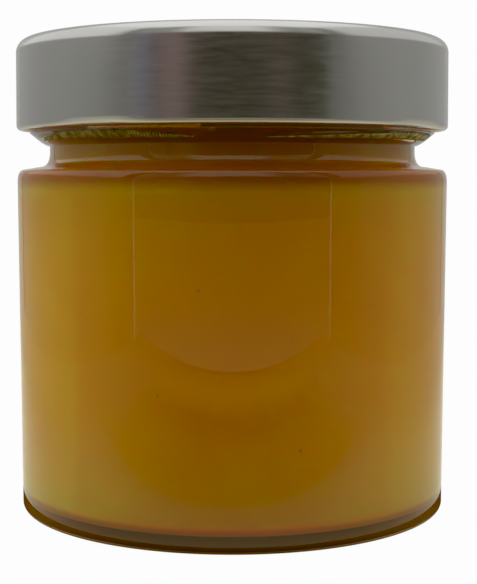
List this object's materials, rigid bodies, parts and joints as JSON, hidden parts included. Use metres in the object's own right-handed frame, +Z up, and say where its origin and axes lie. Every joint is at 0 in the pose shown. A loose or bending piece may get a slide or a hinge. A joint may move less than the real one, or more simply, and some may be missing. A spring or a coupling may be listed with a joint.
{
  "type": "honey jar",
  "caption": "Round straight-sided glass jar filled with creamed honey, shut with a deep satin metal twist-off lid.",
  "frame": {"origin": "centre of the jar's base, on the surface that it stands on", "axes": "+Z up along the jar's axis; -Y towards the viewer of the reference view; +X to the viewer's right"},
  "size_m": [0.0856, 0.0856, 0.0928],
  "materials": {
    "clear_glass": "clear, smooth and glossy, faintly grey-green at the edges",
    "creamed_honey": "opaque golden amber, smooth against the glass, with faint cloudy swirls",
    "satin_metal": "bare silver tinplate, satin, with a fine horizontal grain"
  },
  "bodies": {
    "root": {"jar": "clear_glass", "honey": "creamed_honey", "lid": "satin_metal"}
  },
  "joints": []
}
